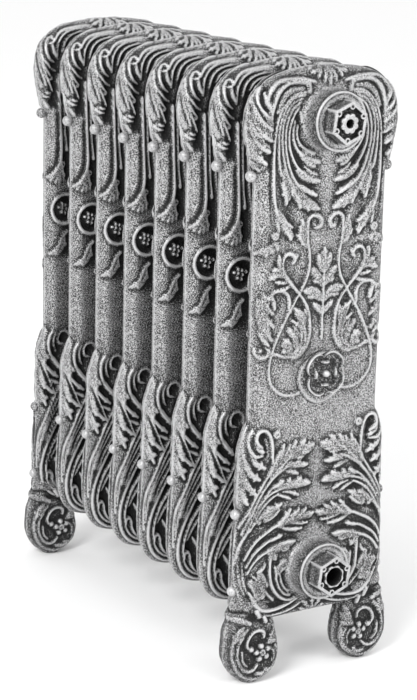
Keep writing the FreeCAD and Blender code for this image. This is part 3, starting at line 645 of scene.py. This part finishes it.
class Shell:
    """Collects vertices, faces and each vertex's tone, with its painted light and shade, for one piece."""

    def __init__(self):
        self.points, self.faces, self.wear_and_painted_light, self.count = [], [], [], 0

    def grid(self, points, wear_and_painted_light):
        """Adds rows of vertices joined by quads: points is rows x columns x 3."""
        rows, columns = points.shape[:2]
        index = np.arange(rows * columns).reshape(rows, columns) + self.count
        right = np.roll(index, -1, axis=1)
        quads = np.stack([index[:-1], right[:-1], right[1:], index[1:]], axis=-1)
        self.points.append(points.reshape(-1, 3))
        self.wear_and_painted_light.append(np.broadcast_to(wear_and_painted_light, (rows, columns)).reshape(-1))
        self.faces.append(quads.reshape(-1, 4))
        self.count += rows * columns

    def mesh(self, name):
        points = np.vstack(self.points) * MM
        faces = np.vstack(self.faces)
        mesh = bpy.data.meshes.new(name)
        mesh.vertices.add(len(points))
        mesh.vertices.foreach_set("co", points.astype(np.float32).ravel())
        mesh.loops.add(faces.size)
        mesh.loops.foreach_set("vertex_index", faces.astype(np.int32).ravel())
        mesh.polygons.add(len(faces))
        mesh.polygons.foreach_set("loop_start", np.arange(0, faces.size, 4, dtype=np.int32))
        mesh.polygons.foreach_set("loop_total", np.full(len(faces), 4, dtype=np.int32))
        mesh.polygons.foreach_set("use_smooth", np.ones(len(faces), dtype=bool))
        mesh.update(calc_edges=True)
        layer = mesh.attributes.new("wear_and_painted_light", "FLOAT", "POINT")
        layer.data.foreach_set("value", np.concatenate(self.wear_and_painted_light).astype(np.float32))
        return mesh


def row_shares(span, gap, fine, coarse):
    """Where the rows of a plate lie: close together near its edge, wide apart in its middle."""
    near = np.arange(gap, min(fine, span), gap)
    far = np.linspace(near[-1], span, max(2, int(math.ceil((span - near[-1]) / coarse)) + 1))[1:]
    return np.concatenate([near, far]) / span


def plate(shell, loop, inner, relief, face, edge, side, gap, fine=999, coarse=6, tone=None):
    """One face of a casting: from the middle of its edge, over the rounding, in to a middle line."""
    target = np.array([inner(y, z) for y, z in loop])
    reach = np.linalg.norm(target - loop, axis=1)
    inward = (target - loop) / reach[:, None]
    turns = np.linspace(0, math.pi / 2, 14)
    arc = (face + edge) / 2
    places, samples, normals = [], [], []
    for turn in turns:
        shift = edge * (1 - math.cos(turn))
        flat = loop + inward * shift
        places.append(np.column_stack([np.full(len(loop), side * face * math.sin(turn)), flat]))
        samples.append(loop + inward * (edge - arc * (math.pi / 2 - turn)))
        normals.append(np.column_stack([np.full(len(loop), side * math.sin(turn)), -inward * math.cos(turn)]))
    for share in row_shares(reach.max() - edge, gap, fine, coarse):
        flat = loop + inward * (edge + (reach[:, None] - edge) * share)
        places.append(np.column_stack([np.full(len(loop), side * face), flat]))
        samples.append(flat)
        normals.append(np.column_stack([np.full(len(loop), side * 1.0), np.zeros((len(loop), 2))]))
    places, samples, normals = np.array(places), np.array(samples), np.array(normals)
    y, z = samples[..., 0], samples[..., 1]
    height = relief.sample(relief.height, y, z)
    wear_and_painted_light = relief.sample(relief.wear_and_painted_light, y, z)
    seam = np.exp(-(np.arange(len(places)) / 0.9) ** 2)[:, None]
    height = height + SEAM * seam
    # painted highlight along the mould line at the middle of the edge
    wear_and_painted_light = wear_and_painted_light + SEAM_HIGHLIGHT * seam
    # tone: the caller's darkening towards the base, or its painted shade and crown light
    if tone is not None:
        wear_and_painted_light = wear_and_painted_light + tone(y, z)
    wear_and_painted_light = np.clip(wear_and_painted_light, 0, 1)
    points = places + normals * height[..., None]
    if side < 0:
        points, wear_and_painted_light = points[:, ::-1], wear_and_painted_light[:, ::-1]
    shell.grid(points, wear_and_painted_light)


def ball(shell, centre, size, tone):
    """A pearl: centre and three half sizes."""
    rows, columns = 14, 22
    down = np.linspace(0.02, math.pi - 0.02, rows)[:, None]
    around = np.linspace(0, 2 * math.pi, columns, endpoint=False)[None, :]
    points = np.stack([centre[0] + size[0] * np.sin(down) * np.cos(around),
                       centre[1] + size[1] * np.sin(down) * np.sin(around),
                       centre[2] + size[2] * np.cos(down) * np.ones_like(around)], axis=-1)
    shell.grid(points[::-1], tone)


def rose(shell):
    """The high rose on the leg section: a dish, four curled petals, a square of four bars and a bead."""
    turns = np.linspace(0, 2 * math.pi, 192, endpoint=False)
    middle = np.abs(np.sin(2 * (turns - 0.08)))
    petal = 1 - 0.32 * (1 - middle) ** 1.8
    square = 0.88 / np.maximum(np.abs(np.cos(turns)), np.abs(np.sin(turns)))
    bar = np.clip(np.abs(np.cos(2 * turns)) * 2.4 - 1.3, 0, 1)
    dish = 1 + 0.025 * np.cos(4 * turns + 0.6) - 0.15 * np.maximum(np.sin(turns), 0)
    dip = 5 * (1 - middle) ** 3
    # each row: radius, height, tone, outline, share of the petals' curl, share of the bars
    rows = [(38.6, 14, 0.1, dish, 0, 0), (36.5, 15.6, 0.2, dish, 0, 0), (35, 18.2, 0.5, dish, 0, 0),
            (34, 19.6, 0.72, dish, 0, 0), (32.6, 20.2, 0.78, dish, 0, 0), (30.8, 20.2, 0.66, dish, 0, 0),
            (29.2, 20.4, 0.5, dish, 0, 0), (28, 20.6, 0.14, petal, 0, 0), (28.4, 23, 0.4, petal, 0.2, 0),
            (29.8, 26.5, 0.66, petal, 0.7, 0), (30.4, 29, 0.85, petal, 1, 0), (29.4, 30.4, 0.92, petal, 1, 0),
            (28.4, 29.9, 0.8, petal, 1, 0), (27.4, 28.2, 0.4, petal, 0.6, 0),
            (26.4, 26.4, 0.24, petal, 0.2, 0), (23, 24.8, 0.42, petal, 0, 0), (20, 25.2, 0.44, 1, 0, 0),
            (18.6, 25.2, 0.3, square, 0, 0), (17.9, 25.6, 0.28, square, 0, 0.6),
            (17.2, 25.8, 0.2, square, 0, 1), (15.6, 25.8, 0.2, square, 0, 1),
            (14.8, 25.5, 0.14, square, 0, 0.6), (13.8, 25.2, 0.2, square, 0, 0), (9.5, 25, 0.4, 1, 0, 0),
            (4.9, 25.2, 0.2, 1, 0, 0), (4.4, 27.5, 0.5, 1, 0, 0), (4.2, 30, 0.8, 1, 0, 0),
            (3.4, 32, 1, 1, 0, 0), (2, 33.2, 1, 1, 0, 0), (0.01, 33.7, 1, 1, 0, 0)]
    points, tones = [], []
    for radius, high, tone, shape, curl, ring in rows:
        reach = radius * shape * np.ones_like(turns)
        low = 4.5 * np.clip((radius - 28.2) / 2, 0, 1) * (high < 20.5)
        points.append(np.stack([high - curl * dip + ring * bar * 5.2, reach * np.cos(turns),
                                ROSE_Z - low + reach * np.sin(turns)], axis=-1))
        tones.append(np.clip(tone - 0.4 * curl * (1 - middle) ** 3 + 0.7 * ring * bar, 0, 1))
    shell.grid(np.array(points), np.array(tones))


def spine(y, z):
    """The place on a section's middle line that faces a place on its outline."""
    return 0.0, min(max(z, HUB_BOTTOM), HUB_TOP)


def hubs(shell):
    """The round stubs, with a filleted root, through which neighbouring sections are joined."""
    profile = np.array([(12, 43), (15, 41.5), (16.4, 40.2), (17.6, 38.8), (19.5, 37.6), (22, 37.05),
                        (30, 37), (36.2, 37), (37.2, 36.6), (37.5, 35.8), (37.5, 21)])
    # tone along the profile: painted shade at the fillet's root and on the stub next to the bush's flange,
    # lighter on the fillet's shoulder
    tone = np.array([0.34, 0.46, 0.56, 0.64, 0.66, 0.62, 0.52, 0.38, 0.38, 0.38, 0.2])[:, None]
    x, radius = profile[:, :1], profile[:, 1:]
    turns = np.linspace(0, 2 * math.pi, 96, endpoint=False)
    for height in (HUB_TOP, HUB_BOTTOM):
        for side in (1, -1):
            turn = turns[::side]
            shell.grid(np.stack([side * x * np.ones_like(turn), radius * np.cos(turn),
                                 height + radius * np.sin(turn)], axis=-1), tone)


def body_loop(gap):
    """The outline of a section; its vertices lie gap apart, and wider where the casting is plain."""
    def spacing(y, z):
        flat_bottom = z < 81 and abs(y) < 60
        return gap * 1.6 if PANEL[0] < z < PANEL[1] or flat_bottom else gap
    half = smooth(BODY, 1.0)
    return resample(np.vstack([half, half[::-1][1:-1] * (-1, 1)]), spacing)[::-1]


def painted_gap_shade_and_crown_light(y, z):
    """Painted shade on the inner part of a face, which stands close to the next section, and a painted
    highlight along the crown.
    """
    half_width, bottom, top, fade, dark = 92, 84, 758, 46, 0.27
    crown, crown_fade, bright = 752, 14, 0.05
    inside = np.minimum(half_width - np.abs(y), np.minimum(top - z, z - bottom) * 1.5)
    share = np.clip(inside / fade, 0, 1)
    # painted light on the crown's top, less painted shade towards the inside of the face
    return bright * np.clip((z - crown) / crown_fade, 0, 1) - dark * share * share * (3 - 2 * share)


def darker_towards_base(y, z):
    """Darkens the end section's face towards its base."""
    base_top, fade, dark = 310, 120, 0.05
    return -dark * np.clip((base_top - z) / fade, 0, 1)


def leg_casting(name, front, back, feet):
    """The end section: its face is towards +X."""
    shell = Shell()
    gap = 1.38
    loop = body_loop(gap)
    plate(shell, loop, spine, front, FACE, EDGE, 1, gap, tone=darker_towards_base)
    plate(shell, loop[::2], spine, back, FACE, EDGE, -1, 3, 40, 9, painted_gap_shade_and_crown_light)
    hubs(shell)
    rose(shell)
    for sign in (1, -1):
        foot(shell, sign, feet)
        pearls(shell, sign)
        ball(shell, (0, sign * 111, 123.5), (6.5, 6, 6.5), 0.85)
    return shell.mesh(name)


def foot(shell, sign, relief):
    """A foot with both its faces, and the flat pad under it."""
    def foot_spine(y, z):
        return sign * FOOT_Y, min(max(z, FOOT_SPINE[0]), FOOT_SPINE[1])

    gap = 1.6
    loop = resample(smooth(FOOT, 1.0)[:-1] * (sign, 1), lambda y, z: gap)
    if sign < 0:
        loop = loop[::-1]
    for side in (1, -1):
        plate(shell, loop, foot_spine, relief, FOOT_FACE, FOOT_EDGE, side, gap)
    turns = np.linspace(0, 2 * math.pi, 40, endpoint=False)
    pad = [(0.01, 0), (11.5, 0), (12, 0.4), (12, 3.5), (9, 4.5)]
    shell.grid(np.array([[(reach * math.cos(t), sign * PAD_Y + reach * math.sin(t), z) for t in turns]
                         for reach, z in pad]), 0.5)


def pearls(shell, sign):
    """The pearls under the head's leaf and beside the base; those on the -Y side are lighter."""
    for y, z, size in ((99.5, 646.5, (7.6, 6.6, 7)), (108.8, 224.0, (7, 6.2, 6.6))):
        ball(shell, (0, sign * y, z), size, 0.8 if sign < 0 else 0.6)


def middle_casting(name, relief):
    shell = Shell()
    gap = 1.8
    loop = body_loop(gap)
    for side in (1, -1):
        plate(shell, loop, spine, relief, FACE, EDGE, side, gap, 66, 7, painted_gap_shade_and_crown_light)
    hubs(shell)
    for sign in (1, -1):
        pearls(shell, sign)
    return shell.mesh(name)


# ---------------- the bushes
BUSH_CLOCK = 7.7      # turn of a bush's hexagon from corner-up, in degrees
FLANGE, HEXAGON, RECESS, SPIGOT = 36.5, 23.25, 19.25, 20.9
LUG, LUG_CIRCLE = 3.6, 20.4
SCALLOPS = 8


def bush_mesh(name, face, collar, bore):
    """A reducing bush along +X from the hub's end: flange, hexagon, lugged recess, scalloped collar, bore."""
    turns = np.linspace(0, 2 * math.pi, 288, endpoint=False)
    clock = math.radians(90 - BUSH_CLOCK)
    corner = (turns - clock + math.pi / 6) % (math.pi / 3) - math.pi / 6
    circle = np.ones_like(turns)
    hexagon = 1 / np.cos(math.pi / 6 - np.abs(corner))
    flats = HEXAGON * hexagon
    inside = np.sqrt(np.clip(LUG ** 2 - (LUG_CIRCLE * np.sin(corner)) ** 2, 0, None))
    bump = np.where(inside > 0, LUG_CIRCLE * np.cos(corner) - inside, 99)
    recess = np.minimum(RECESS * hexagon, bump)
    scallop = 1 - 0.15 * np.abs(np.cos(SCALLOPS / 2 * turns)) ** 4
    edge = np.exp(-(corner / 0.07) ** 2)
    # each row: radius, place along X, tone; the tone is lighter on rims and the hexagon's corners, and paints
    # shade at the flange's back, the hexagon's foot, the lug dimples, down the recess and the scallops, and
    # inside the bore
    rows = [(FLANGE, 1.0, 0.2), (FLANGE, 3.2, 0.75), (36.2, 4.2, 0.8), (35.2, 4.9, 0.84), (34, 4.6, 0.75),
            (33, 3.6, 0.5), (31, 3.1, 0.68), (29, 3.2, 0.72), (27.4, 3.2, 0.6),
            (24.6 * hexagon ** 0.9, 3.4, 0.3), (flats, 4.4, 0.24 + 0.4 * edge),
            (flats, 8.0, 0.5 + 0.3 * edge), (flats, face - 6, 0.38 + 0.5 * edge),
            (flats, face - 1.4, 0.5 + 0.4 * edge), (23.05 * hexagon, face - 0.4, 0.75)]
    for share in (0.10, 0.22, 0.34, 0.46, 0.58, 0.70, 0.82):
        reach = flats * (1 - share) + recess * share
        away = np.hypot(reach * np.cos(corner) - LUG_CIRCLE, reach * np.sin(corner))
        dimple = np.exp(-(away / 1.7) ** 4)
        rows.append((reach, face - 1.3 * dimple, 0.78 - 0.7 * dimple))
    rows += [(recess + 0.4, face, 0.9), (recess, face - 0.5, 0.6), (recess, face - 2, 0.3),
             (recess, face - 6.9, 0.12), (collar + 1.6, face - 7, 0.34),
             ((collar + 0.3) * scallop, face - 6.8, 0.1), (collar * scallop, face - 5, 0.25),
             (collar * scallop, face - 1.0, 0.7), ((collar - 0.5) * scallop, face - 0.2, 0.86),
             (collar * 0.45 + bore * 0.55, face, 0.74), (bore + 0.5, face - 0.2, 0.8),
             (bore, face - 0.9, 0.4), (bore, face - 5, 0.04), (bore, -17.5, 0), (bore + 0.5, -18, 0.1),
             (20.4, -18, 0.3), (SPIGOT, -17.4, 0.3), (SPIGOT, 0.9, 0.2), (36.2, 1.0, 0.2)]
    points, tones = [], []
    for reach, x, tone in rows:
        reach = reach * circle
        points.append(np.stack([x * circle, reach * np.cos(turns), reach * np.sin(turns)], axis=-1))
        tones.append(tone * circle)
    shell = Shell()
    shell.grid(np.array(points), np.array(tones))
    return shell.mesh(name)


# ---------------- materials
def new_material(name):
    material = bpy.data.materials.new(name)
    material.use_nodes = True
    nodes, links = material.node_tree.nodes, material.node_tree.links
    return material, nodes, links, nodes["Principled BSDF"]


def ramp_node(nodes, stops):
    node = nodes.new("ShaderNodeValToRGB")
    elements = node.color_ramp.elements
    for _ in range(len(stops) - 2):
        elements.new(0.5)
    for element, (place, tone) in zip(elements, stops):
        element.position = place
        element.color = (tone, tone, tone * 1.01, 1)
    return node


def noise_node(nodes, links, coordinate, scale, detail=3.0, roughness=0.6):
    node = nodes.new("ShaderNodeTexNoise")
    node.inputs["Scale"].default_value = scale
    node.inputs["Detail"].default_value = detail
    node.inputs["Roughness"].default_value = roughness
    links.new(coordinate, node.inputs["Vector"])
    return node


def math_node(nodes, links, operation, a, b):
    node = nodes.new("ShaderNodeMath")
    node.operation = operation
    for socket, value in zip(node.inputs, (a, b)):
        if isinstance(value, (int, float)):
            socket.default_value = value
        else:
            links.new(value, socket)
    return node.outputs[0]


def map_range(nodes, links, value, low, high, at_low, at_high):
    """Changes a value that runs from low to high into one from at_low to at_high."""
    node = nodes.new("ShaderNodeMapRange")
    for socket, number in (("From Min", low), ("From Max", high), ("To Min", at_low), ("To Max", at_high)):
        node.inputs[socket].default_value = number
    links.new(value, node.inputs["Value"])
    return node.outputs["Result"]


def add_bump(nodes, links, shader, height, strength, distance):
    bump = nodes.new("ShaderNodeBump")
    bump.inputs["Strength"].default_value = strength
    bump.inputs["Distance"].default_value = distance
    links.new(height, bump.inputs["Height"])
    links.new(bump.outputs["Normal"], shader.inputs["Normal"])


IRON_STOPS = [(0.0, 0.005), (0.25, 0.015), (0.42, 0.055), (0.54, 0.155), (0.68, 0.35), (0.9, 0.54)]


def iron(name, stipple=1.0):
    """Burnished cast iron: dark where the relief is low, bright where it is high, with a sandy stipple; the
    tone it reads also carries painted shade and highlights.
    """
    material, nodes, links, shader = new_material(name)
    place = nodes.new("ShaderNodeTexCoord").outputs["Object"]
    wear_and_painted_light = nodes.new("ShaderNodeAttribute")
    wear_and_painted_light.attribute_name = "wear_and_painted_light"
    tone = wear_and_painted_light.outputs["Fac"]
    fine = noise_node(nodes, links, place, 700, 2.0)
    broad = noise_node(nodes, links, place, 45, 4.0)
    pits = nodes.new("ShaderNodeTexVoronoi")
    pits.inputs["Scale"].default_value = 330
    links.new(place, pits.inputs["Vector"])

    def calc(operation, a, b):
        return math_node(nodes, links, operation, a, b)

    speck = calc("MULTIPLY", calc("SUBTRACT", fine.outputs["Fac"], 0.5), 2.3 * stipple)
    pit = calc("MINIMUM", calc("SUBTRACT", pits.outputs["Distance"], 0.27), 0)
    speck = calc("ADD", speck, calc("MULTIPLY", pit, 4.2 * stipple))
    speck = calc("MULTIPLY", speck, map_range(nodes, links, tone, 0.60, 0.76, 1.0, 0.4))
    cloud = calc("MULTIPLY", calc("SUBTRACT", broad.outputs["Fac"], 0.5), 0.35)
    total = calc("ADD", calc("ADD", tone, speck), cloud)
    ramp = ramp_node(nodes, IRON_STOPS)
    links.new(total, ramp.inputs["Fac"])
    links.new(ramp.outputs["Color"], shader.inputs["Base Color"])
    links.new(map_range(nodes, links, total, 0.0, 1.0, 0.78, 0.36), shader.inputs["Roughness"])
    shader.inputs["Metallic"].default_value = 0.35
    add_bump(nodes, links, shader, calc("ADD", fine.outputs["Fac"], pits.outputs["Distance"]), 0.35, 0.0006)
    return material


def plain(name, colour, roughness, metallic, scale=300, strength=0.2):
    material, nodes, links, shader = new_material(name)
    place = nodes.new("ShaderNodeTexCoord").outputs["Object"]
    noise = noise_node(nodes, links, place, scale)
    mix = nodes.new("ShaderNodeMix")
    mix.data_type = "RGBA"
    mix.inputs["A"].default_value = (*[c * 0.75 for c in colour], 1)
    mix.inputs["B"].default_value = (*[min(1, c * 1.2) for c in colour], 1)
    links.new(noise.outputs["Fac"], mix.inputs["Factor"])
    links.new(mix.outputs["Result"], shader.inputs["Base Color"])
    shader.inputs["Roughness"].default_value = roughness
    shader.inputs["Metallic"].default_value = metallic
    add_bump(nodes, links, shader, noise.outputs["Fac"], strength, 0.0003)
    return material


CASTING = iron("cast_iron")
BUSH = iron("bush_iron", stipple=0.7)
NIPPLE = plain("nipple_iron", (0.16, 0.16, 0.17), 0.6, 0.8)
GASKET = plain("gasket", (0.03, 0.03, 0.032), 0.9, 0.0)
BRASS = plain("vent_brass", (0.72, 0.56, 0.30), 0.3, 1.0, 500, 0.1)
RUBBER = plain("seat_rubber", (0.04, 0.04, 0.04), 0.8, 0.0)

# ---------------- the object
middle_face = middle_relief()
leg_mesh = leg_casting("leg_casting", leg_relief(), middle_face, foot_relief())
middle_mesh = middle_casting("middle_casting", middle_face)
for mesh in (leg_mesh, middle_mesh):
    mesh.materials.append(CASTING)


def show_casting(node, mesh, turned=False):
    """Stands a casting in the place of its CAD node."""
    low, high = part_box(node)
    piece = add_object(node + "_casting", mesh)
    piece.location.x = (low.x + high.x) / 2
    if turned:
        piece.rotation_euler.z = math.pi
    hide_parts(node)
    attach(piece, "radiator")


def show_bush(node, mesh, height, turned):
    """Stands a bush on the end of the stack; its own mesh starts where the hub ends."""
    low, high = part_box(node)
    piece = add_object(node + "_shape", mesh)
    mouth = max(vertex.co.x for vertex in mesh.vertices)
    piece.location = (low.x + mouth if turned else high.x - mouth, 0, height * MM)
    if turned:
        piece.rotation_euler.z = math.pi
    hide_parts(node)
    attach(piece, "radiator")


for level, height, face, collar, bore in (("top", HUB_TOP, 22.0, 12.4, 5.4),
                                          ("bottom", HUB_BOTTOM, 26.0, 14.6, 11.9)):
    bush = bush_mesh(f"bush_{level}", face, collar, bore)
    bush.materials.append(BUSH)
    show_bush(f"bush_front_{level}", bush, height, False)
    show_bush(f"bush_rear_{level}", bush, height, True)

show_casting("leg_section_front", leg_mesh)
show_casting("leg_section_rear", leg_mesh, turned=True)
for number in range(2, 8):
    show_casting(f"section_{number}", middle_mesh)

for start, material in (("nipple", NIPPLE), ("gasket", GASKET), ("vent_body", BRASS),
                        ("vent_screw", BRASS), ("vent_seat", RUBBER)):
    for node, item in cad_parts.items():
        if node.startswith(start):
            item.data.materials.clear()
            item.data.materials.append(material)

# ---------------- floor and light
FLOOR = 30            # half the floor's side, in metres
floor_mesh = bpy.data.meshes.new("floor")
floor_mesh.from_pydata([(-FLOOR, -FLOOR, 0), (FLOOR, -FLOOR, 0), (FLOOR, FLOOR, 0), (-FLOOR, FLOOR, 0)], [],
                       [(0, 1, 2, 3)])
floor = add_object("floor", floor_mesh)
floor_material, nodes, links, shader = new_material("floor")
shader.inputs["Base Color"].default_value = (0.96, 0.96, 0.96, 1)
shader.inputs["Roughness"].default_value = 0.9
floor_mesh.materials.append(floor_material)

world = bpy.data.worlds.new("world")
world.use_nodes = True
sky = world.node_tree.nodes["Background"]
sky.inputs["Color"].default_value = (1, 1, 1, 1)
sky.inputs["Strength"].default_value = 1.0
bpy.context.scene.world = world


def lamp(name, place, aim, size, power):
    data = bpy.data.lights.new(name, "AREA")
    data.shape = "DISK"
    data.size = size
    data.energy = power
    item = add_object(name, data)
    item.location = place
    item.rotation_mode = "QUATERNION"
    item.rotation_quaternion = (Vector(aim) - Vector(place)).to_track_quat("-Z", "Y")


lamp("key", (1.6, -2.6, 2.6), (0.1, 0, 0.4), 1.6, 90)
lamp("fill", (3.2, 1.6, 1.6), (0.2, 0, 0.4), 1.8, 40)
bpy.context.scene.view_settings.view_transform = "Standard"
